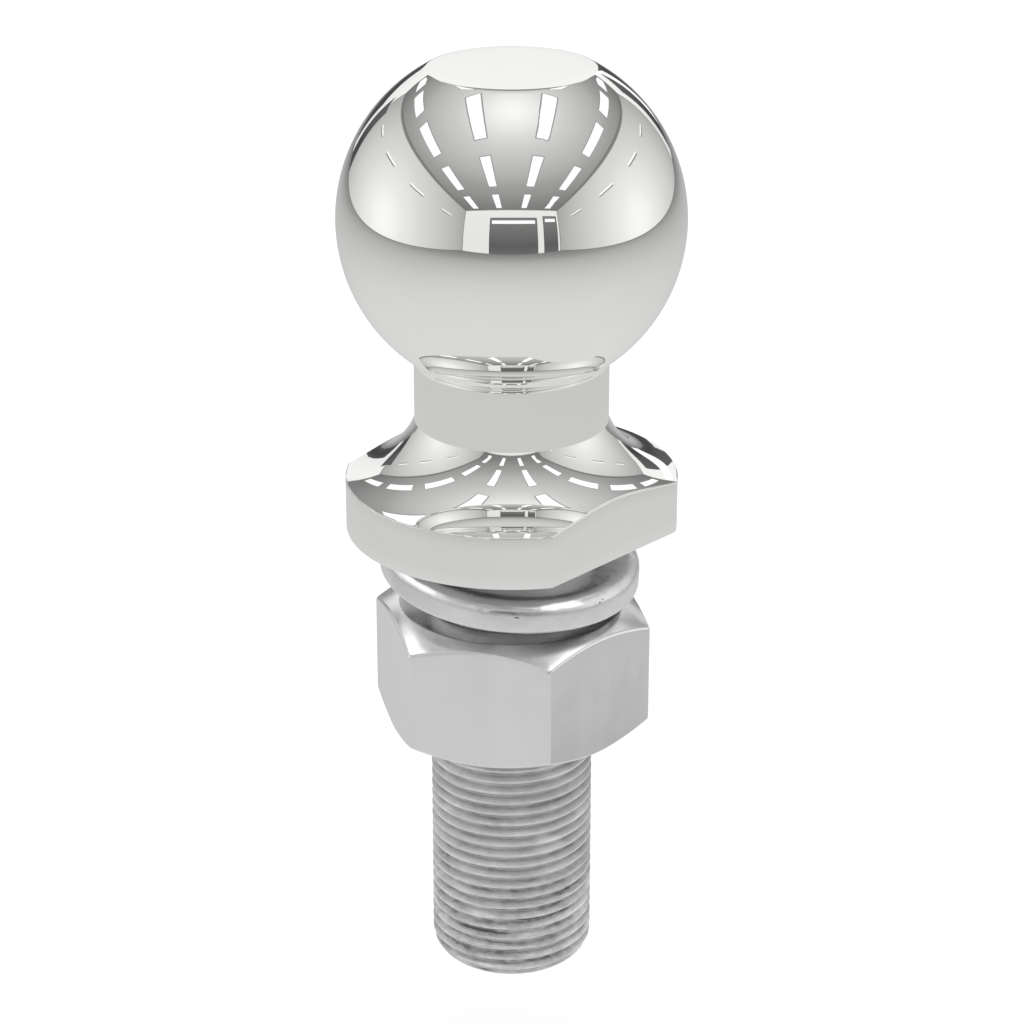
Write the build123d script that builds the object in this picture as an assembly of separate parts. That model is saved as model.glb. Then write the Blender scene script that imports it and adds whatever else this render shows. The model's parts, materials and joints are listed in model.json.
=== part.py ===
"""Trailer hitch ball: a forged ball stud, a split lock washer and a hex nut.

The origin is the centre of the collar's underside, where the ball seats on a
drawbar. +Z runs up through the ball, and the shank points down.
All lengths are in millimetres.
"""

from build123d import *
from math import acos, ceil, cos, degrees, floor, radians, sin, tan
import os

# ball, neck and collar
BALL_R = 25.4
BALL_HEIGHT = 47.6
TOP_FLAT_R = 12.2
NECK_R = 14.4
NECK_FILLET = 3.0
NECK_LEAN = 20
COLLAR_R = 24.75
FLARE_R = 14.0
FLARE_TOP = 16.97
FLARE_LEAN = 20
FLATS_APART = 41.2
FLATS_AZIMUTH = 137.3

# shank, threaded one inch by fourteen to the inch
SHANK_LENGTH = 72.4
PLAIN_R = 12.6
PLAIN_LENGTH = 10.0
END_ROUND = 4.0
END_FACE_R = 10.3

# thread form
PITCH = 25.4 / 14
THREAD_CREST_R = 12.38
THREAD_ROOT_R = 11.45
CREST_WIDTH = 0.36
FLANK = tan(radians(30))
THREAD_FIT = 0.12

# hex nut
NUT_AF = 37.4
NUT_TOP = -12.35
NUT_HEIGHT = 19.7
NUT_CORNER_AZIMUTH = 285.2
NUT_TOP_FACE_R = 17.0
NUT_BOTTOM_FACE_R = 18.4
NUT_BORE_R = 11.65
MOUTH_R = 12.8
MOUTH_DEPTH = 1.0
MOUTH_CHAMFER = 0.5

# split lock washer, lying a little askew on the shank
WASHER_OUTER_R = 19.6
WASHER_INNER_R = 13.4
WASHER_THICK = 5.3
WASHER_RISE = 2.8
WASHER_MID_Z = -6.05
WASHER_OFF_CENTRE = -0.25
WASHER_TILT = 4.9
SPLIT_AZIMUTH = 131.6
SPLIT_WIDTH = 2.8
SPLIT_SLANT = 15
TOP_ROUND = 2.4
BOTTOM_ROUND = 0.9
INNER_ROUND = 0.5


def turned(points):
    """A solid of revolution about Z from (radius, height) corners."""
    outline = Polyline(*[(r, 0, z) for r, z in points], close=True)
    return revolve(make_face(outline), Axis.Z)


def helical_bar(corners, start, turns):
    """A right-hand helical bar, from its section's (radius, height) corners.

    It starts at height start on the +X side, and each turn has faces of its own.
    """
    sides = []
    for turn in range(turns):
        foot = start + turn * PITCH
        rails = [
            Helix(pitch=PITCH, height=PITCH, radius=r, center=(0, 0, foot + z))
            for r, z in corners
        ]
        pairs = zip(rails, rails[1:] + rails[:1])
        sides += [Face.make_surface_from_curves(a, b) for a, b in pairs]
    for foot in (start, start + turns * PITCH):
        loop = [(r, 0, foot + z) for r, z in corners]
        sides.append(Face(Wire.make_polygon(loop, close=True)))
    return Solid(Shell(sides))


def groove_corners(floor_r, floor_width, mouth_r):
    """A thread groove's section: a flat floor, and flanks that open at 60 degrees."""
    half = floor_width / 2
    mouth = half + abs(mouth_r - floor_r) * FLANK
    return [(floor_r, -half), (mouth_r, -mouth), (mouth_r, mouth), (floor_r, half)]


def arc(centre, radius, start, end):
    """An arc in the XZ plane between two angles, in degrees from +X."""
    x, z = centre
    angles = [radians(turn) for turn in (start, (start + end) / 2, end)]
    return ThreePointArc(
        *[(x + radius * cos(turn), 0, z + radius * sin(turn)) for turn in angles]
    )


def head_outline():
    """Half the section of the collar, flare, neck and ball, as joined edges."""
    flat_turn = degrees(acos(TOP_FLAT_R / BALL_R))
    fillet_r = NECK_R + NECK_FILLET * cos(radians(NECK_LEAN))
    fillet_turn = degrees(acos(fillet_r / (BALL_R + NECK_FILLET)))
    fillet_z = BALL_HEIGHT - (BALL_R + NECK_FILLET) * sin(radians(fillet_turn))
    flare_r = NECK_R + FLARE_R * cos(radians(FLARE_LEAN))
    flare_z = FLARE_TOP + FLARE_R * sin(radians(FLARE_LEAN))
    rim_turn = degrees(acos((flare_r - COLLAR_R) / FLARE_R))
    curves = [
        arc((flare_r, flare_z), FLARE_R, 180 + rim_turn, 180 + FLARE_LEAN),
        arc((fillet_r, fillet_z), NECK_FILLET, 180 - NECK_LEAN, 180 - fillet_turn),
        arc((0, BALL_HEIGHT), BALL_R, -fillet_turn, flat_turn),
    ]
    top = (0, 0, BALL_HEIGHT + BALL_R * sin(radians(flat_turn)))
    straights = [
        Line((0, 0, 0), (COLLAR_R, 0, 0)),
        Line((COLLAR_R, 0, 0), curves[0] @ 0),
        Line(curves[0] @ 1, curves[1] @ 0),
        Line(curves[2] @ 1, top),
        Line(top, (0, 0, 0)),
    ]
    return curves + straights


def head():
    """The collar with its two wrench flats, the flare, the neck and the ball."""
    solid = revolve(make_face(Wire(head_outline())), Axis.Z)
    for side in (-1, 1):
        beside = Pos(side * (FLATS_APART / 2 + 10), 0, 0) * Box(20, 80, 40)
        solid -= Rot(0, 0, FLATS_AZIMUTH) * beside
    return solid


def shank_blank():
    """The shank before its thread is cut: plain, then slimmer, with a rounded end."""
    round_centre = THREAD_CREST_R - END_ROUND
    turn = degrees(acos((END_FACE_R - round_centre) / END_ROUND))
    round_top = -SHANK_LENGTH + END_ROUND * sin(radians(turn))
    end = arc((round_centre, round_top), END_ROUND, 0, -turn)
    sides = Polyline(
        end @ 1,
        (0, 0, -SHANK_LENGTH),
        (0, 0, 1),
        (PLAIN_R, 0, 1),
        (PLAIN_R, 0, -PLAIN_LENGTH),
        (THREAD_CREST_R, 0, -PLAIN_LENGTH - 0.05),
        end @ 0,
    )
    return revolve(make_face(Wire([end, *sides.edges()])), Axis.Z)


def shank():
    """The shank, with its thread cut from below the plain length to its end."""
    crest_gap = PITCH - CREST_WIDTH
    floor_width = crest_gap - 2 * (THREAD_CREST_R - THREAD_ROOT_R) * FLANK
    corners = groove_corners(THREAD_ROOT_R, floor_width, THREAD_CREST_R + 0.25)
    first = floor(-SHANK_LENGTH / PITCH) - 1
    last = floor(-PLAIN_LENGTH / PITCH)
    groove = helical_bar(corners, first * PITCH, last - first)
    return shank_blank() - groove


def ball_stud():
    """The one-piece stud: ball, neck, collar and threaded shank."""
    return head() + shank()


def hexagon(height):
    """A hexagonal prism standing on Z = 0, corners at the nut's azimuth."""
    corner_r = NUT_AF / 2 / cos(radians(30))
    outline = Rot(0, 0, NUT_CORNER_AZIMUTH) * RegularPolygon(corner_r, 6)
    return extrude(outline, height)


def nut_envelope():
    """The turned shape that chamfers the nut's corners at both ends."""
    corner_r = NUT_AF / 2 / cos(radians(30)) + 1
    rise = (corner_r - NUT_BOTTOM_FACE_R) * FLANK
    drop = (corner_r - NUT_TOP_FACE_R) * FLANK
    return turned(
        [
            (0, 0),
            (NUT_BOTTOM_FACE_R, 0),
            (corner_r, rise),
            (corner_r, NUT_HEIGHT - drop),
            (NUT_TOP_FACE_R, NUT_HEIGHT),
            (0, NUT_HEIGHT),
        ]
    )


def nut_bore():
    """The nut's plain bore, with a stepped and chamfered mouth at both ends."""
    half = NUT_HEIGHT / 2
    step = half - MOUTH_DEPTH
    edge = half - MOUTH_CHAMFER
    chamfer_r = MOUTH_R + MOUTH_CHAMFER
    upper = [
        (NUT_BORE_R, step),
        (MOUTH_R, step),
        (MOUTH_R, edge),
        (chamfer_r, half),
        (chamfer_r, half + 1),
        (0, half + 1),
    ]
    lower = [(r, -z) for r, z in reversed(upper)]
    return turned(lower + upper)


def nut_groove(low, high):
    """The groove of the nut's thread, which clears the shank's thread all round."""
    floor_r = THREAD_CREST_R + THREAD_FIT + 0.04
    spread = 2 * THREAD_FIT / cos(radians(30)) - 2 * (floor_r - THREAD_CREST_R) * FLANK
    corners = groove_corners(floor_r, CREST_WIDTH + spread, NUT_BORE_R - 0.25)
    first = floor(low / PITCH) - 1.5
    turns = ceil(high / PITCH) + 1 - floor(low / PITCH) + 1
    return helical_bar(corners, first * PITCH, turns)


def hex_nut():
    """The hex nut, with both ends chamfered and its thread cut right through."""
    bottom = NUT_TOP - NUT_HEIGHT
    blank = Pos(0, 0, bottom) * (hexagon(NUT_HEIGHT) & nut_envelope())
    bore = Pos(0, 0, bottom + NUT_HEIGHT / 2) * Rot(0, 0, 50) * nut_bore()
    return (blank - bore) - nut_groove(bottom, NUT_TOP)


def washer_section():
    """The washer wire's section: its top outer edge is the roundest."""
    section = Rectangle(WASHER_OUTER_R - WASHER_INNER_R, WASHER_THICK)
    section = fillet(section.vertices().sort_by(Axis.X)[:2], INNER_ROUND)
    section = fillet(section.vertices().group_by(Axis.X)[-1].sort_by(Axis.Y)[-1], TOP_ROUND)
    return fillet(section.vertices().group_by(Axis.X)[-1].sort_by(Axis.Y)[0], BOTTOM_ROUND)


def lock_washer():
    """One left-hand turn of squared wire, split on a slant and lying askew."""
    middle_r = (WASHER_OUTER_R + WASHER_INNER_R) / 2
    turn = 358
    rise = WASHER_RISE * turn / 360
    path = Helix(pitch=WASHER_RISE, height=rise, radius=middle_r, lefthand=True)
    section = Plane((middle_r, 0, 0), x_dir=(1, 0, 0), z_dir=(0, -1, 0)) * washer_section()
    coil = Pos(0, 0, -rise / 2) * sweep(section, path, is_frenet=True)
    coil = Rot(0, 0, (turn - 360) / 2) * coil
    split = Pos(middle_r, 0, 0) * Rot(SPLIT_SLANT, 0, 0) * Box(12, SPLIT_WIDTH, 20)
    coil = Rot(0, 0, SPLIT_AZIMUTH) * (coil - split)
    away = radians(SPLIT_AZIMUTH - 90)
    lean = Axis((0, 0, 0), (cos(away), sin(away), 0))
    return Pos(WASHER_OFF_CENTRE, 0, WASHER_MID_Z) * coil.rotate(lean, WASHER_TILT)


PARTS = {
    "ball_stud": ball_stud,
    "lock_washer": lock_washer,
    "hex_nut": hex_nut,
}

os.makedirs("parts", exist_ok=True)
for name, build in PARTS.items():
    export_step(build(), f"parts/{name}.step")
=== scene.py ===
"""The looks of the trailer hitch ball: a chromed ball stud, a lock washer and a hex nut.

Everything is in metres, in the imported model's frame: the origin is the centre of
the collar's underside and +Z runs up through the ball.
"""

import json
import math

import bmesh
import bpy
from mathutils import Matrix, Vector

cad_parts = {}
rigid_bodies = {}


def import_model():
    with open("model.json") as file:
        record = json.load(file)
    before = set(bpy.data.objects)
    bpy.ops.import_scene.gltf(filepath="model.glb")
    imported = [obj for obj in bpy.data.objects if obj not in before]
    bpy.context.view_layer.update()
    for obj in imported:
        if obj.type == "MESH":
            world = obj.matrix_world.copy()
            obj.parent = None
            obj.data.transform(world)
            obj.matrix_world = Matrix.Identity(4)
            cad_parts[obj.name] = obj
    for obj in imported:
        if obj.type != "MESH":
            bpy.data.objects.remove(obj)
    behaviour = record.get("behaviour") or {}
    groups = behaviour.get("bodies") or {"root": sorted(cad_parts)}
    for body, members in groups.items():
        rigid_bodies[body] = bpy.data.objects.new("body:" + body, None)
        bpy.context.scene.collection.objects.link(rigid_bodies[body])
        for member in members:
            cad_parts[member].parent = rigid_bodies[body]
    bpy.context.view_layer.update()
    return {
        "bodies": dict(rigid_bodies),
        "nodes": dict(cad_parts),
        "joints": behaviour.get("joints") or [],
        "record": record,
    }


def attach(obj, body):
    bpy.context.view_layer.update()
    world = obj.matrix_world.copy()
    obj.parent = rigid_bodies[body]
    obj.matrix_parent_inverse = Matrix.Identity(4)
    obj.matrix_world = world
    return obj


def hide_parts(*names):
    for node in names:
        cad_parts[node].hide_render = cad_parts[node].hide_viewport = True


# camera
CAMERA_AT = (0.00006, -0.4293, 0.1849)
CAMERA_PITCH = 23.12
CAMERA_LENS = 109.49

# the hall around the object, which only its reflections see, and the ball's centre in it
EYE = Vector((0, 0, 0.0476))
HALL_X = 7.0
HALL_Y = 11.5
FLOOR_Z = -0.98
CEILING_Z = 5.0
HALL_GLOW = 1.08

# the floor below the object, and its lights
FLOOR_UNDER = -0.094
WORLD_STRENGTH = 1.16
SOFT_BOX_DISTANCE = 1.2


def linear(grey):
    """The linear value of an 8-bit sRGB grey."""
    v = grey / 255
    return v / 12.92 if v <= 0.04045 else ((v + 0.055) / 1.055) ** 2.4


# ---------------------------------------------------------------- node helpers


class Nodes:
    """A short way to add and link the nodes of one tree."""

    def __init__(self, tree):
        self.tree = tree

    def add(self, kind, inputs=(), **settings):
        node = self.tree.nodes.new(kind)
        for name, value in settings.items():
            setattr(node, name, value)
        for key, value in dict(inputs).items():
            self.put(node.inputs[key], value)
        return node

    def put(self, socket, value):
        if isinstance(value, bpy.types.NodeSocket):
            self.tree.links.new(value, socket)
        else:
            socket.default_value = value

    def maths(self, operation, a, b=0.0, clamp=False):
        node = self.add("ShaderNodeMath", {0: a, 1: b}, operation=operation, use_clamp=clamp)
        return node.outputs[0]

    def span(self, value, low, high, to_low=0.0, to_high=1.0, smooth=True):
        kind = "SMOOTHSTEP" if smooth else "LINEAR"
        inputs = {"Value": value, "From Min": low, "From Max": high}
        inputs |= {"To Min": to_low, "To Max": to_high}
        return self.add("ShaderNodeMapRange", inputs, interpolation_type=kind).outputs[0]

    def ramp(self, value, stops, tint=(1, 1, 1)):
        node = self.add("ShaderNodeValToRGB", {0: value})
        elements = node.color_ramp.elements
        while len(elements) < len(stops):
            elements.new(1.0)
        for element, (place, grey) in zip(elements, stops):
            element.position = place
            v = linear(grey)
            element.color = (*(v * t for t in tint), 1)
        return node.outputs[0]


def new_material(name):
    """An empty node material, and the helper for its nodes."""
    material = bpy.data.materials.new(name)
    material.use_nodes = True
    material.node_tree.nodes.clear()
    return material, Nodes(material.node_tree)


# ---------------------------------------------------------------- the hall


def glow(name, stops, value_of):
    """A material that glows by itself, in greys set by a place on the hall."""
    material, n = new_material(name)
    place = n.add("ShaderNodeNewGeometry").outputs["Position"]
    colour = n.ramp(value_of(n, place), stops)
    emission = n.add("ShaderNodeEmission", {"Color": colour, "Strength": HALL_GLOW})
    n.add("ShaderNodeOutputMaterial", {"Surface": emission.outputs[0]})
    material.cycles.emission_sampling = "NONE"
    return material


def toward(n, place, axis):
    """How squarely a place lies along an axis from the ball: 0 across it, 1 straight along."""
    ray = n.add("ShaderNodeVectorMath", {0: place, 1: EYE}, operation="SUBTRACT").outputs[0]
    way = n.add("ShaderNodeVectorMath", {0: ray}, operation="NORMALIZE").outputs[0]
    return n.maths("ABSOLUTE", n.add("ShaderNodeSeparateXYZ", {0: way}).outputs[axis])


def steepness(n, place):
    """The sine of the angle between the horizon and a place, seen from the ball."""
    return toward(n, place, "Z")


def sideways(n, place):
    """How squarely a place lies to the side, 0 ahead and 1 straight to the side."""
    return toward(n, place, "X")


def by_angle(pairs):
    """Ramp stops from (angle in degrees, grey) pairs, for a ramp over the angle's sine."""
    return [(math.sin(math.radians(angle)), grey) for angle, grey in pairs]


def hall_sheet(name, corners, material):
    """A flat sheet that glossy surfaces reflect, and nothing else sees."""
    mesh = bpy.data.meshes.new(name)
    mesh.from_pydata(corners, [], [tuple(range(len(corners)))])
    sheet = bpy.data.objects.new(name, mesh)
    bpy.context.scene.collection.objects.link(sheet)
    mesh.materials.append(material)
    sheet.visible_camera = False
    sheet.visible_diffuse = False
    sheet.visible_shadow = False
    sheet.visible_transmission = False
    sheet.visible_volume_scatter = False
    return sheet


def level(name, x0, x1, y0, y1, z, material):
    """A level sheet, such as a floor or a ceiling light."""
    corners = [(x0, y0, z), (x1, y0, z), (x1, y1, z), (x0, y1, z)]
    return hall_sheet(name, corners, material)


def end_panel(name, side, x0, x1, z0, z1, material, gap=0.0):
    """A sheet on the hall's near (-1) or far (1) end wall, a gap in front of it."""
    y = side * (HALL_Y - gap)
    corners = [(x0, y, z0), (x1, y, z0), (x1, y, z1), (x0, y, z1)]
    return hall_sheet(name, corners, material)


def side_panel(name, side, y0, y1, z0, z1, material, gap=0.0):
    """A sheet on the hall's left (-1) or right (1) side wall, a gap in front of it."""
    x = side * (HALL_X - gap)
    corners = [(x, y0, z0), (x, y1, z0), (x, y1, z1), (x, y0, z1)]
    return hall_sheet(name, corners, material)


def hall_materials():
    """The hall's glowing materials by name, in 8-bit greys from level to steep."""
    floor = [(4, 114), (6, 131), (8, 146), (10, 163), (12, 173), (15, 182), (20, 192)]
    floor += [(25, 199), (32, 205), (40, 208), (55, 211)]
    ceiling = [(20, 112), (26, 128), (32, 144), (38, 155), (44, 171), (53, 186), (62, 199)]
    ceiling += [(71, 215), (80, 232), (88, 242)]
    wall = [(30, 165), (38, 182), (45, 193), (60, 211), (75, 229), (90, 242)]
    stops = {
        "floor": by_angle(floor),
        "ceiling": by_angle(ceiling),
        "near_end": [(0.0, 224), (1.0, 232)],
        "far_end": [(0.0, 218), (0.12, 230), (0.3, 238), (1.0, 240)],
        "strip": [(0.0, 255), (1.0, 255)],
        "opening": [(0.0, 92), (0.3, 124)],
        "door_edge": [(0.0, 78), (0.3, 92)],
        "far_opening": [(0.0, 66), (0.1, 84), (0.3, 96)],
        "line": [(0.0, 125), (1.0, 150)],
        "joint": [(0.3, 112), (0.7, 126)],
    }
    made = {name: glow(f"hall_{name}", greys, steepness) for name, greys in stops.items()}
    made["wall"] = glow("hall_side_wall", by_angle(wall), sideways)
    return made


def build_shell(looks):
    """The hall's floor, ceiling and four walls."""
    level("hall_floor", -HALL_X, HALL_X, -HALL_Y, HALL_Y, FLOOR_Z, looks["floor"])
    level("hall_ceiling", -HALL_X, HALL_X, -HALL_Y, HALL_Y, CEILING_Z, looks["ceiling"])
    for side, end in ((-1, "near_end"), (1, "far_end")):
        side_panel(f"hall_side_{side}", side, -HALL_Y, HALL_Y, FLOOR_Z, CEILING_Z, looks["wall"])
        end_panel(f"hall_end_{side}", side, -HALL_X, HALL_X, FLOOR_Z, CEILING_Z, looks[end])


def build_ceiling_lights(looks):
    """Two columns of strip lights each side of the middle, in dark rims."""
    rim = 0.07
    spacing = 0.925 * CEILING_Z
    half_length = 0.325 * CEILING_Z
    for column, (inner, outer) in enumerate(((0.26, 0.395), (0.91, 1.07))):
        for row in range(-2, 3):
            y0 = row * spacing - half_length
            y1 = row * spacing + half_length
            for side in (-1, 1):
                x0, x1 = sorted((side * inner * CEILING_Z, side * outer * CEILING_Z))
                place = f"{column}_{row}_{side}"
                level(f"hall_light_{place}", x0, x1, y0, y1, CEILING_Z - 0.02, looks["strip"])
                around = (x0 - rim, x1 + rim, y0 - rim, y1 + rim)
                level(f"hall_rim_{place}", *around, CEILING_Z - 0.01, looks["line"])


def build_doors(looks):
    """The dark openings in the end walls, and the far wall's lit pillar."""
    doors = ((-2.81, 3.35, 3.73), (4.41, 6.5, 3.95))
    for index, (x0, x1, top) in enumerate(doors):
        frame = (x0 - 0.1, x1 + 0.1, FLOOR_Z, top + 0.1)
        bar = (x0 + 0.2, x1 - 0.2, top - 0.75, top - 0.3)
        end_panel(f"hall_door_{index}", -1, x0, x1, FLOOR_Z, top, looks["opening"], 0.02)
        end_panel(f"hall_frame_{index}", -1, *frame, looks["door_edge"], 0.01)
        end_panel(f"hall_bar_{index}", -1, *bar, looks["strip"], 0.04)
    far_doors = ((-7.0, -6.1, 3.15), (-5.1, -0.5, 1.1), (0.4, 2.03, 1.1))
    far_doors += ((2.03, 3.08, 3.0), (3.96, 5.73, 3.25))
    for index, (x0, x1, top) in enumerate(far_doors):
        end_panel(f"hall_far_door_{index}", 1, x0, x1, FLOOR_Z, top, looks["far_opening"], 0.02)
    end_panel("hall_far_light", 1, 3.12, 3.92, FLOOR_Z, 4.8, looks["strip"], 0.02)
    side_panel("hall_side_door", -1, 9.6, HALL_Y, FLOOR_Z, 3.15, looks["far_opening"], 0.02)


def build_edges(looks):
    """The thin dark lines where walls meet, and the lit rails on the side walls."""
    line = looks["line"]
    cornice = (CEILING_Z - 0.1, CEILING_Z, line, 0.01)
    for side in (-1, 1):
        side_panel(f"hall_cornice_{side}", side, -HALL_Y, HALL_Y, *cornice)
        side_panel(f"hall_skirting_{side}", side, -HALL_Y, HALL_Y, FLOOR_Z, FLOOR_Z + 0.06, line, 0.01)
        end_panel(f"hall_end_cornice_{side}", side, -HALL_X, HALL_X, *cornice)
        for corner in (-1, 1):
            x0, x1 = sorted((corner * (HALL_X - 0.12), corner * HALL_X))
            end_panel(f"hall_corner_{side}_{corner}", side, x0, x1, FLOOR_Z, CEILING_Z, line, 0.015)
        x0, x1 = sorted((side * (HALL_X - 0.3), side * HALL_X))
        above = CEILING_Z - 0.01
        level(f"hall_ceiling_edge_{side}", x0, x1, -HALL_Y, HALL_Y, above, looks["joint"])
        for y0, y1 in ((-8.2, -6.3), (-3.4, -1.5), (1.0, 2.85), (5.3, 7.2)):
            side_panel(f"hall_rail_{side}_{y0}", side, y0, y1, 3.0, 3.12, looks["strip"], 0.02)
            side_panel(f"hall_rail_foot_{side}_{y0}", side, y0, y1, 2.9, 3.0, line, 0.02)


def build_hall():
    """An empty hall of glowing sheets, which stands for the ball's surroundings."""
    looks = hall_materials()
    build_shell(looks)
    build_ceiling_lights(looks)
    build_doors(looks)
    build_edges(looks)


# ---------------------------------------------------------------- sizes, in mm

MM = 0.001

# the stud's head
BALL_R = 25.4
BALL_Z = 47.6
FLAT_R = 12.2
NECK_R = 14.4
NECK_FILLET = 3.0
NECK_LEAN = 20
COLLAR_R = 24.75
FLARE_R = 14.0
FLARE_TOP = 16.97
FLARE_LEAN = math.radians(20)
HALF_FLATS = 20.6
FLATS_AZIMUTH = 137.3
EDGE = 0.18
CORNER_ROUND = 0.3
FLAT_RIM = 0.12

# the shank, which reaches a little way up into the collar
SHANK_END = -72.4
SHANK_OVERLAP = 0.5
PLAIN_R = 12.6
PLAIN_END = -10.0
END_ROUND = 4.0
END_FACE_R = 10.3
END_RING_R = 5.0
RUNOUT_START = 0.3
RUNOUT_LENGTH = 1.6

# the thread, whose flank is straight but for this share at each end, and rounded on past it
PITCH = 25.4 / 14
CREST_R = 12.38
ROOT_R = 11.45
STRAIGHT_FROM = 0.12
ROUND_PAST = 0.16
THREAD_STEPS = 10

# the nut
NUT_HALF_AF = 18.7
NUT_TOP = -12.35
NUT_BOTTOM = -32.05
NUT_CORNER_AZIMUTH = 285.2
NUT_TOP_FACE_R = 17.0
NUT_BOTTOM_FACE_R = 18.4
NUT_BORE_R = 11.65
NUT_GROOVE_R = 12.54
NUT_MOUTH_R = 12.8
NUT_MOUTH_DEPTH = 1.0
NUT_MOUTH_CHAMFER = 0.5
NUT_EDGE = 0.7

# the washer, and its split
WASHER_OUTER_R = 19.6
WASHER_INNER_R = 13.4
WASHER_THICK = 5.3
WASHER_RISE = 2.8
WASHER_TOP_ROUND = 2.4
WASHER_BOTTOM_ROUND = 0.9
WASHER_INNER_ROUND = 0.5
WASHER_AT = (-0.25, 0, -6.05)
WASHER_TILT = math.radians(4.9)
SPLIT_AZIMUTH = math.radians(131.6)
SPLIT_WIDTH = 2.8
SPLIT_SLANT = math.radians(15)


# ---------------------------------------------------------------- mesh tools


def polar(radius, azimuth, z):
    """The point at a radius, an azimuth in radians and a height."""
    return (radius * math.cos(azimuth), radius * math.sin(azimuth), z)


def arc(x, z, radius, start, end, count):
    """Points of an arc in a section, between two angles in degrees from outwards."""
    turns = [math.radians(start + (end - start) * i / count) for i in range(count + 1)]
    return [(x + radius * math.cos(t), z + radius * math.sin(t)) for t in turns]


def ring(section, around):
    """Rows of points: a section's (radius, height) corners, each turned all the way round."""
    return [[polar(r, a, z) for a in around] for r, z in section]


def lofted(sections, around):
    """Rows of points from a section of its own at each azimuth."""
    rows = range(len(sections[0]))
    return [[polar(s[i][0], a, s[i][1]) for s, a in zip(sections, around)] for i in rows]


class Skin:
    """Grids of points in mm that become one mesh where their borders meet."""

    def __init__(self):
        self.points = []
        self.faces = []

    def grid(self, rows, shift=0):
        """Faces between rows of points, all round; shift joins a helix to its next turn."""
        base = len(self.points)
        wide = len(rows[0])
        for row in rows:
            self.points += [tuple(c * MM for c in point) for point in row]
        for i in range(len(rows) - 1):
            for j in range(wide):
                step = shift if j == wide - 1 else 0
                if i + 1 + step >= len(rows):
                    continue
                here = base + i * wide + j
                ahead = base + (i + step) * wide + (j + 1) % wide
                self.faces.append((here, ahead, ahead + wide, here + wide))

    def cap(self, loop):
        """One face over a loop of points."""
        base = len(self.points)
        self.points += [tuple(c * MM for c in point) for point in loop]
        self.faces.append(tuple(range(base, base + len(loop))))

    def build(self, name, sharp):
        """The closed mesh, smooth but for edges that turn more than sharp degrees."""
        mesh = bpy.data.meshes.new(name)
        mesh.from_pydata(self.points, [], self.faces)
        work = bmesh.new()
        work.from_mesh(mesh)
        bmesh.ops.remove_doubles(work, verts=work.verts, dist=1e-6)
        bmesh.ops.dissolve_degenerate(work, edges=work.edges, dist=1e-7)
        bmesh.ops.recalc_face_normals(work, faces=work.faces)
        for face in work.faces:
            face.smooth = True
        for edge in work.edges:
            turn = edge.calc_face_angle(0.0)
            edge.smooth = turn < math.radians(sharp)
        work.to_mesh(mesh)
        work.free()
        piece = bpy.data.objects.new(name, mesh)
        bpy.context.scene.collection.objects.link(piece)
        return piece


def rounded_reach(half, corner, radius, turn, beyond):
    """How far a flat side with rounded ends reaches, turn away from its middle.

    half is the side's distance, corner the rounding's centre as (distance, azimuth),
    and beyond the reach past the rounding, or None where the rounding goes on.
    """
    far, place = corner
    start = math.atan2(far * math.sin(place), half)
    if turn <= start:
        return half / math.cos(turn)
    off = turn - place
    inside = radius**2 - (far * math.sin(off)) ** 2
    if beyond is None or turn < place:
        return far * math.cos(off) + math.sqrt(max(inside, 0))
    return beyond


def azimuths(step, corners, spread, count):
    """Even azimuths in degrees, with extra ones close around each corner."""
    found = {round(i * step, 4) for i in range(int(360 / step))}
    for corner in corners:
        found = {a for a in found if abs((a - corner + 180) % 360 - 180) > spread * 1.02}
    for corner in corners:
        for i in range(count + 1):
            found.add(round((corner - spread + 2 * spread * i / count) % 360, 4))
    return [math.radians(a) for a in sorted(found)]


# ---------------------------------------------------------------- the stud's head

# where the rounding between a wrench flat and the collar's rim has its centre
CORNER_FAR = COLLAR_R - CORNER_ROUND
CORNER_TURN = math.acos((HALF_FLATS - CORNER_ROUND) / CORNER_FAR)


def collar_reach(azimuth):
    """The collar's radius at an azimuth: round, but for its two wrench flats."""
    away = abs((math.degrees(azimuth) - FLATS_AZIMUTH + 90) % 180 - 90)
    corner = (CORNER_FAR, CORNER_TURN)
    return rounded_reach(HALF_FLATS, corner, CORNER_ROUND, math.radians(away), COLLAR_R)


def flare_height(radius):
    """The height of the flare's concave arc at a radius."""
    x = NECK_R + FLARE_R * math.cos(FLARE_LEAN)
    z = FLARE_TOP + FLARE_R * math.sin(FLARE_LEAN)
    return z - math.sqrt(FLARE_R**2 - (x - radius) ** 2)


def collar_section(reach):
    """The collar's section from the middle of its underside up to the neck."""
    top = flare_height(reach)
    points = [(reach * i / 6, 0) for i in range(6)]
    points += arc(reach - EDGE, EDGE, EDGE, -90, 0, 6)
    points += [(reach, top * i / 4) for i in range(1, 4)]
    points += arc(reach - EDGE, top - EDGE, EDGE, 0, 90, 6)[:-1]
    inner = reach - EDGE
    for i in range(31):
        radius = inner + (NECK_R - inner) * i / 30
        points.append((radius, flare_height(radius)))
    return points


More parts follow.
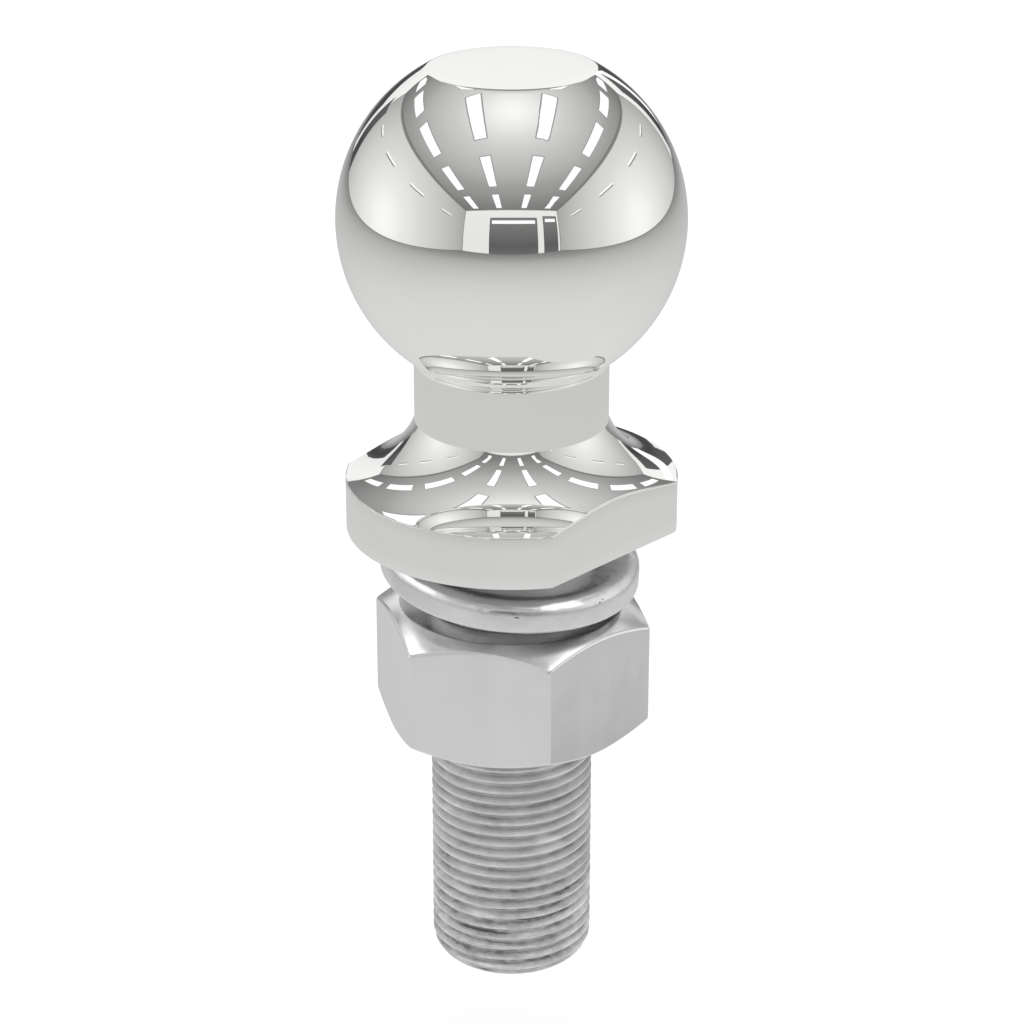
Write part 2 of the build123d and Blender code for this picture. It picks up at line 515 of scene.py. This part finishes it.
def upper_section():
    """The section from the foot of the neck over the ball to the middle of its flat."""
    fillet_r = NECK_R + NECK_FILLET * math.cos(math.radians(NECK_LEAN))
    turn = math.degrees(math.acos(fillet_r / (BALL_R + NECK_FILLET)))
    fillet_z = BALL_Z - (BALL_R + NECK_FILLET) * math.sin(math.radians(turn))
    crease_z = fillet_z + NECK_FILLET * math.sin(math.radians(NECK_LEAN))
    flat_z = BALL_Z + math.sqrt(BALL_R**2 - FLAT_R**2)
    edge_turn = math.degrees(math.acos((FLAT_R + 0.08) / BALL_R))
    points = [(NECK_R, FLARE_TOP + (crease_z - FLARE_TOP) * i / 6) for i in range(6)]
    points += arc(fillet_r, fillet_z, NECK_FILLET, 180 - NECK_LEAN, 180 - turn, 16)[:-1]
    points += arc(0, BALL_Z, BALL_R, -turn, edge_turn, 80)
    points += [(FLAT_R, flat_z - 0.02), (FLAT_R - FLAT_RIM, flat_z)]
    return points + [(FLAT_R * i / 5, flat_z) for i in (4, 3, 2, 1, 0)]


def build_head():
    """The collar, flare, neck and ball, as one closed mesh."""
    away = math.degrees(CORNER_TURN)
    corners = [FLATS_AZIMUTH + side + sign * away for side in (0, 180) for sign in (-1, 1)]
    around = azimuths(1.5, [corner % 360 for corner in corners], 0.6, 8)
    skin = Skin()
    skin.grid(lofted([collar_section(collar_reach(a)) for a in around], around))
    skin.grid(ring(upper_section(), around))
    return skin.build("ball_head", 17)


# ---------------------------------------------------------------- threads


def thread_depth(z, azimuth):
    """How deep the thread is cut there: 0 on a crest and 1 in a root, softly rounded."""
    place = (z - PITCH * azimuth / math.tau) / PITCH
    away = abs(place % 1 - 0.5) * PITCH
    flank = (CREST_R - ROOT_R) * math.tan(math.radians(30))
    along = (away - (PITCH / 2 - flank) / 2) / flank
    if STRAIGHT_FROM < along < 1 - STRAIGHT_FROM:
        return along
    share = (along + ROUND_PAST) / (1 + 2 * ROUND_PAST)
    return 0.5 - 0.5 * math.cos(math.pi * min(max(share, 0), 1))


def helical_rows(low, high, around, radius_at):
    """Rows of points that follow the thread, held between two heights."""
    first = math.floor(low / PITCH) - 1
    last = math.ceil(high / PITCH) + 1
    rows = []
    for k in range(first * THREAD_STEPS, last * THREAD_STEPS + 1):
        row = []
        for a in around:
            z = (k / THREAD_STEPS + a / math.tau) * PITCH
            z = min(max(z, low), high)
            row.append(polar(radius_at(z, a), a, z))
        rows.append(row)
    return rows


def shank_radius(z, azimuth):
    """The shank's radius in its threaded part, with the run-out and the rounded end."""
    runout = min(max((PLAIN_END - RUNOUT_START - z) / RUNOUT_LENGTH, 0), 1)
    radius = CREST_R - (CREST_R - ROOT_R) * runout * thread_depth(z, azimuth)
    middle = CREST_R - END_ROUND
    top = SHANK_END + math.sqrt(END_ROUND**2 - (END_FACE_R - middle) ** 2)
    if z < top:
        radius = min(radius, middle + math.sqrt(max(END_ROUND**2 - (top - z) ** 2, 0)))
    return radius


def build_shank():
    """The shank: its thread, its end face, and the plain length under the collar."""
    around = [math.radians(360 * i / 96) for i in range(96)]
    top = PLAIN_END - 0.05
    end_face = [(0, SHANK_END), (END_RING_R, SHANK_END), (END_FACE_R, SHANK_END)]
    plain = [(CREST_R, top), (PLAIN_R, PLAIN_END), (PLAIN_R, PLAIN_END / 2)]
    plain += [(PLAIN_R, SHANK_OVERLAP), (0, SHANK_OVERLAP)]
    skin = Skin()
    skin.grid(helical_rows(SHANK_END, top, around, shank_radius), shift=THREAD_STEPS)
    skin.grid(ring(end_face, around))
    skin.grid(ring(plain, around))
    return skin.build("threaded_shank", 40)


# ---------------------------------------------------------------- the nut


def nut_reach(azimuth):
    """The nut's radius in plan at an azimuth, with its six corners rounded."""
    away = abs((math.degrees(azimuth) - NUT_CORNER_AZIMUTH) % 60 - 30)
    far = (NUT_HALF_AF - NUT_EDGE) / math.cos(math.radians(30))
    return rounded_reach(NUT_HALF_AF, (far, math.radians(30)), NUT_EDGE, math.radians(away), None)


def nut_end(reach, face_r, sign, z_face):
    """One end of the nut's section, from its mouth out over the chamfer to the side."""
    lean = math.tan(math.radians(30))
    wide = reach - face_r
    edge = min(NUT_EDGE, 1.2 * wide)
    soft = min(0.25, 0.3 * wide)
    middle = (face_r + soft + reach - edge / 2) / 2
    centre = z_face - sign * (wide + edge) * lean
    points = [(NUT_MOUTH_R, z_face - sign * depth) for depth in (NUT_MOUTH_DEPTH, NUT_MOUTH_CHAMFER)]
    points += [(NUT_MOUTH_R + NUT_MOUTH_CHAMFER, z_face), (face_r - soft, z_face)]
    points.append((face_r, z_face - sign * 0.13 * soft))
    points += [(r, z_face - sign * (r - face_r) * lean) for r in (face_r + 0.87 * soft, middle)]
    rounded = arc(reach - edge, centre, edge, 60, 0, 6)
    return points + [(r, centre + sign * (z - centre)) for r, z in rounded]


def nut_thread_radius(z, azimuth):
    """The radius of the nut's thread, deepest where the shank's crest runs."""
    return NUT_GROOVE_R - (NUT_GROOVE_R - NUT_BORE_R) * thread_depth(z, azimuth)


def build_nut():
    """The nut: a section at each azimuth outside, and its thread between two mouths."""
    corners = [(NUT_CORNER_AZIMUTH + 60 * i) % 360 for i in range(6)]
    around = azimuths(3.0, corners, 1.1, 8)
    sections = []
    for a in around:
        reach = nut_reach(a)
        upper = nut_end(reach, NUT_TOP_FACE_R, 1, NUT_TOP)
        lower = nut_end(reach, NUT_BOTTOM_FACE_R, -1, NUT_BOTTOM)
        sections.append(upper + lower[::-1])
    skin = Skin()
    skin.grid(lofted(sections, around))
    low = NUT_BOTTOM + NUT_MOUTH_DEPTH
    high = NUT_TOP - NUT_MOUTH_DEPTH
    skin.grid(helical_rows(low, high, around, nut_thread_radius), shift=THREAD_STEPS)
    for z in (low, high):
        inner = [polar(nut_thread_radius(z, a), a, z) for a in around]
        outer = [polar(NUT_MOUTH_R, a, z) for a in around]
        skin.grid([inner, outer])
    return skin.build("hex_nut_body", 25)


# ---------------------------------------------------------------- the washer


# the longest step between two points of the washer's section
SECTION_STEP = 1.2


def washer_section():
    """The washer wire's section as (out, up) from its middle, roundest at the top outside."""
    out = (WASHER_OUTER_R - WASHER_INNER_R) / 2
    up = WASHER_THICK / 2
    corners = (
        (out, up, WASHER_TOP_ROUND),
        (-out, up, WASHER_INNER_ROUND),
        (-out, -up, WASHER_INNER_ROUND),
        (out, -up, WASHER_BOTTOM_ROUND),
    )
    loop = []
    for quarter, (x, z, radius) in enumerate(corners):
        start = quarter * 90
        centre = (x - math.copysign(radius, x), z - math.copysign(radius, z))
        loop += arc(*centre, radius, start, start + 90, 7)
    full = []
    for (x0, z0), (x1, z1) in zip(loop, loop[1:] + loop[:1]):
        count = int(math.hypot(x1 - x0, z1 - z0) / SECTION_STEP) + 1
        full += [(x0 + (x1 - x0) * i / count, z0 + (z1 - z0) * i / count) for i in range(count)]
    return full


def washer_point(out, up, turn):
    """A point of the washer, turn radians anticlockwise of its split, lying askew."""
    middle = (WASHER_OUTER_R + WASHER_INNER_R) / 2
    radius = middle + out
    azimuth = SPLIT_AZIMUTH + turn
    height = WASHER_RISE * (0.5 - turn / math.tau) + up
    x, y, z = polar(radius, azimuth, height)
    away = SPLIT_AZIMUTH - math.pi / 2
    side = -x * math.sin(away) + y * math.cos(away)
    along = x * math.cos(away) + y * math.sin(away)
    across = side * math.cos(WASHER_TILT) - z * math.sin(WASHER_TILT)
    z = side * math.sin(WASHER_TILT) + z * math.cos(WASHER_TILT)
    x = along * math.cos(away) - across * math.sin(away)
    y = along * math.sin(away) + across * math.cos(away)
    return (x + WASHER_AT[0], y + WASHER_AT[1], z + WASHER_AT[2])


def build_washer():
    """One turn of wire from one slanted face of the split round to the other."""
    section = washer_section()
    middle = (WASHER_OUTER_R + WASHER_INNER_R) / 2
    half_split = SPLIT_WIDTH / 2 / math.cos(SPLIT_SLANT)
    lean = math.tan(SPLIT_SLANT)
    count = 180
    rows = []
    for i in range(count + 1):
        row = []
        for out, up in section:
            first = (half_split - (up + WASHER_RISE / 2) * lean) / (middle + out)
            last = math.tau - (half_split + (up - WASHER_RISE / 2) * lean) / (middle + out)
            row.append(washer_point(out, up, first + (last - first) * i / count))
        rows.append(row)
    skin = Skin()
    skin.grid(rows)
    skin.cap(rows[0][::-1])
    skin.cap(rows[-1])
    return skin.build("split_washer", 25)


# ---------------------------------------------------------------- metals


def noise(n, place, scale, detail=4.0, stretch=(1, 1, 1)):
    """Soft noise over a place, finer along an axis the more it is stretched."""
    placed = n.add("ShaderNodeMapping", {"Vector": place, "Scale": stretch}).outputs[0]
    inputs = {"Vector": placed, "Scale": scale, "Detail": detail}
    return n.add("ShaderNodeTexNoise", inputs).outputs[0]


def finish_metal(n, tone, rough, height, depth, metallic=1.0):
    """Joins a metal's tone, roughness and height, depth metres deep, into its surface."""
    inputs = {"Base Color": tone, "Metallic": metallic, "Roughness": rough}
    shader = n.add("ShaderNodeBsdfPrincipled", inputs)
    bumped = n.add("ShaderNodeBump", {"Strength": 1.0, "Distance": depth, "Height": height})
    n.put(shader.inputs["Normal"], bumped.outputs[0])
    n.add("ShaderNodeOutputMaterial", {"Surface": shader.outputs[0]})


def object_place(n):
    """A place on the piece, in metres in the model's frame, and its three coordinates."""
    place = n.add("ShaderNodeTexCoord").outputs["Object"]
    return place, n.add("ShaderNodeSeparateXYZ", {0: place}).outputs


def chrome():
    """Polished chrome; the collar's underside is rougher and painted darker, a painted shade under the
    collar.
    """
    material, n = new_material("bright_chrome")
    place, axes = object_place(n)
    cloud = noise(n, place, 70.0, 5.0)
    hairs = noise(n, place, 900.0, 3.0, (1, 1, 0.04))
    # painted shade: the collar's underside is painted darker grey, and also made rougher
    underside_shade_and_matte = n.span(axes["Z"], 0.00002, 0.0001, 0.55, 0.0)
    shade = n.maths("ADD", n.span(cloud, 0.3, 0.7, 0.0, 0.45), underside_shade_and_matte)
    tone = n.ramp(shade, [(0.0, 251), (0.45, 254), (0.55, 170), (1.0, 190)], (1.0, 1.0, 0.985))
    polish = n.span(hairs, 0.35, 0.75, 0.012, 0.03)
    rough = n.maths("ADD", polish, n.maths("MULTIPLY", underside_shade_and_matte, 0.7))
    finish_metal(n, tone, rough, hairs, 0.0000004)
    return material


def zinc():
    """Dull plate on the thread: painted shade darkens the grooves; scuffed and marked low down."""
    material, n = new_material("dull_zinc")
    place, axes = object_place(n)
    radius = n.add("ShaderNodeVectorMath", {0: place, 1: (1, 1, 0)}, operation="MULTIPLY").outputs[0]
    reach = n.add("ShaderNodeVectorMath", {0: radius}, operation="LENGTH").outputs["Value"]
    # painted shade: darker towards the thread's roots, lighter towards its crests
    groove_shade = n.span(reach, ROOT_R * MM, CREST_R * MM, 0.0, 0.3)
    cloud = noise(n, place, 220.0, 6.0)
    grit = n.span(noise(n, place, 1700.0, 2.0, (0.4, 0.4, 1.5)), 0.38, 0.62, -0.12, 0.12)
    streak = n.span(noise(n, place, 700.0, 3.0, (0.13, 0.13, 2.2)), 0.35, 0.65, -0.18, 0.18)
    scuff = n.span(noise(n, place, 130.0, 5.0, (1, 1, 2.5)), 0.5, 0.66, 0.0, 0.2)
    low = n.span(axes["Z"], -0.068, -0.048, 1.0, 0.0)
    band = n.maths("MULTIPLY", low, n.span(axes["Z"], -0.07, -0.062, 0.0, 1.0))
    mark = n.span(noise(n, place, 150.0, 3.0, (0.3, 0.3, 9)), 0.6, 0.68, 0.0, 0.45)
    shade = n.maths("ADD", n.maths("ADD", groove_shade, n.maths("MULTIPLY", cloud, 0.5)), scuff)
    wear = n.span(axes["Z"], -0.068, -0.048, 0.85, 0.35)
    rubbed = n.maths("MULTIPLY", wear, n.maths("ADD", streak, grit))
    shade = n.maths("ADD", shade, rubbed)
    shade = n.maths("SUBTRACT", shade, n.maths("MULTIPLY", band, mark), True)
    tone = n.ramp(shade, [(0.0, 110), (0.25, 180), (0.6, 212), (1.0, 244)])
    finish_metal(n, tone, n.span(cloud, 0.3, 0.7, 0.36, 0.48), cloud, 0.00003, 0.6)
    return material


def spring():
    """Bright plate on the washer, a little wavy, with a few nicks, and painted shade on its underside.
    """
    material, n = new_material("plated_spring_steel")
    place, _ = object_place(n)
    wave = noise(n, place, 110.0, 3.0)
    normal = n.add("ShaderNodeTexCoord").outputs["Normal"]
    # painted shade: faces that look down are painted darker
    under = n.span(n.add("ShaderNodeSeparateXYZ", {0: normal}).outputs["Z"], -0.95, -0.6, 0.6, 0.0)
    nick = n.span(noise(n, place, 420.0, 2.0, (1, 1, 2)), 0.7, 0.76, 0.0, 0.6)
    shade = n.maths("SUBTRACT", n.span(wave, 0.3, 0.7, 0.7, 1.0), n.maths("ADD", nick, under), True)
    tone = n.ramp(shade, [(0.0, 90), (0.6, 228), (1.0, 245)])
    finish_metal(n, tone, n.span(wave, 0.3, 0.7, 0.24, 0.31), wave, 0.0005)
    return material


def steel():
    """Satin plate on the nut, softly clouded; painted shade darkens two flats and the top face, and
    painted light makes it lighter towards its top.
    """
    material, n = new_material("plated_steel")
    place, axes = object_place(n)
    normal = n.add("ShaderNodeTexCoord").outputs["Normal"]
    cloud = noise(n, place, 120.0, 3.0)
    lines = noise(n, place, 260.0, 2.0, (1, 1, 0.1))
    # painted light: the nut is painted lighter towards its top
    painted_top_light = n.span(axes["Z"], NUT_BOTTOM * MM, NUT_TOP * MM, 0.55, 0.85, False)
    shade = n.maths("ADD", n.span(cloud, 0.3, 0.7, 0.0, 0.1), n.span(lines, 0.3, 0.7, 0.0, 0.04))
    shade = n.maths("ADD", shade, painted_top_light)
    # painted shade: the flats facing these two ways are painted darker
    for turn, drop in ((30, 0.42), (-90, 0.15)):
        way = polar(1, math.radians(NUT_CORNER_AZIMUTH + turn), 0)
        facing = n.add("ShaderNodeVectorMath", {0: normal, 1: way}, operation="DOT_PRODUCT")
        side_shade = n.span(facing.outputs["Value"], 0.9, 1.0, 0.0, drop)
        shade = n.maths("SUBTRACT", shade, side_shade, True)
    # painted shade: the nut's top face, under the washer, is painted darker
    upward = n.add("ShaderNodeSeparateXYZ", {0: normal}).outputs["Z"]
    shade = n.maths("SUBTRACT", shade, n.span(upward, 0.9, 0.99, 0.0, 0.8), True)
    tone = n.ramp(shade, [(0.0, 140), (0.12, 208), (0.4, 232), (0.7, 243), (1.0, 255)])
    finish_metal(n, tone, n.span(cloud, 0.3, 0.7, 0.21, 0.27), lines, 0.00001)
    return material


def place_piece(piece, body, node, material):
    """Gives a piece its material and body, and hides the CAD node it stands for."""
    piece.data.materials.append(material)
    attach(piece, body)
    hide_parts(node)
    return piece


# ---------------------------------------------------------------- stage


def build_floor():
    """A plain pale floor, far enough down for the nut at the end of its travel."""
    material, n = new_material("pale_floor")
    place = n.add("ShaderNodeTexCoord").outputs["Object"]
    cloud = n.add("ShaderNodeTexNoise", {"Vector": place, "Scale": 60.0}).outputs[0]
    tone = n.ramp(cloud, [(0.0, 250), (1.0, 253)])
    shader = n.add("ShaderNodeBsdfDiffuse", {"Color": tone})
    n.add("ShaderNodeOutputMaterial", {"Surface": shader.outputs[0]})
    floor = level("floor", -6, 6, -6, 6, FLOOR_UNDER, material)
    floor.visible_camera = True
    floor.visible_diffuse = True
    floor.visible_glossy = False


def build_light():
    """Even white light from all round."""
    world = bpy.data.worlds.new("studio")
    bpy.context.scene.world = world
    world.use_nodes = True
    back = world.node_tree.nodes["Background"]
    back.inputs["Color"].default_value = (1, 1, 1, 1)
    back.inputs["Strength"].default_value = WORLD_STRENGTH


def gathered(name, pieces):
    """A collection of pieces, for a light to shine on or be blocked by."""
    collection = bpy.data.collections.new(name)
    for piece in pieces:
        collection.objects.link(piece)
    return collection


def soft_box(name, way, size, radiance, lit, blockers=None):
    """A square soft light that faces the object and only shines on some of it.

    Only the blockers cast shadows in its light, or everything where none are given.
    """
    data = bpy.data.lights.new(name, "AREA")
    data.shape = "SQUARE"
    data.size = size
    data.energy = radiance * math.pi * size**2
    light = bpy.data.objects.new(name, data)
    way = Vector(way).normalized()
    light.location = way * SOFT_BOX_DISTANCE
    light.rotation_euler = way.to_track_quat("Z", "Y").to_euler()
    bpy.context.scene.collection.objects.link(light)
    light.visible_camera = False
    light.light_linking.receiver_collection = lit
    if blockers:
        light.light_linking.blocker_collection = blockers


def light_fasteners(shank, washer, nut):
    """Soft boxes for the pieces under the collar, where the hall hardly reaches."""
    ring_only = gathered("washer_only", [washer])
    hex_only = gathered("nut_only", [nut])
    rod_only = gathered("shank_only", [shank])
    under = gathered("under_collar", [washer, nut])
    soft_box("washer_left_box", (-0.9, -0.1, 0.42), 0.85, 0.6, ring_only)
    soft_box("washer_right_box", (0.62, -0.52, 0.58), 0.85, 0.95, ring_only)
    soft_box("nut_left_box", (-0.42, 0.37, 0.83), 0.6, 1.9, hex_only, hex_only)
    soft_box("nut_right_box", (0.38, 0.16, 0.91), 0.55, 1.2, hex_only, under)
    soft_box("nut_top_box", (-0.15, 0.16, 0.97), 0.8, 1.0, hex_only, hex_only)
    soft_box("shank_left_box", (-0.8, -0.4, 0.5), 0.8, 0.9, rod_only, rod_only)
    soft_box("shank_right_box", (0.9, -0.3, 0.4), 0.7, 0.35, rod_only, rod_only)
    soft_box("shank_top_box", (0.0, 0.12, 0.99), 0.6, 0.8, rod_only, rod_only)


def build_camera():
    """The camera, level from side to side and looking a little down."""
    data = bpy.data.cameras.new("camera")
    data.lens = CAMERA_LENS
    data.clip_start = 0.01
    camera = bpy.data.objects.new("camera", data)
    camera.location = CAMERA_AT
    camera.rotation_euler = (math.radians(90 - CAMERA_PITCH), 0, 0)
    bpy.context.scene.collection.objects.link(camera)
    bpy.context.scene.camera = camera


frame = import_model()

build_camera()
build_light()
build_floor()
build_hall()
place_piece(build_head(), "stud", "ball_stud", chrome())
light_fasteners(
    place_piece(build_shank(), "stud", "ball_stud", zinc()),
    place_piece(build_washer(), "washer", "lock_washer", spring()),
    place_piece(build_nut(), "nut", "hex_nut", steel()),
)

bpy.context.scene.view_settings.view_transform = "Standard"
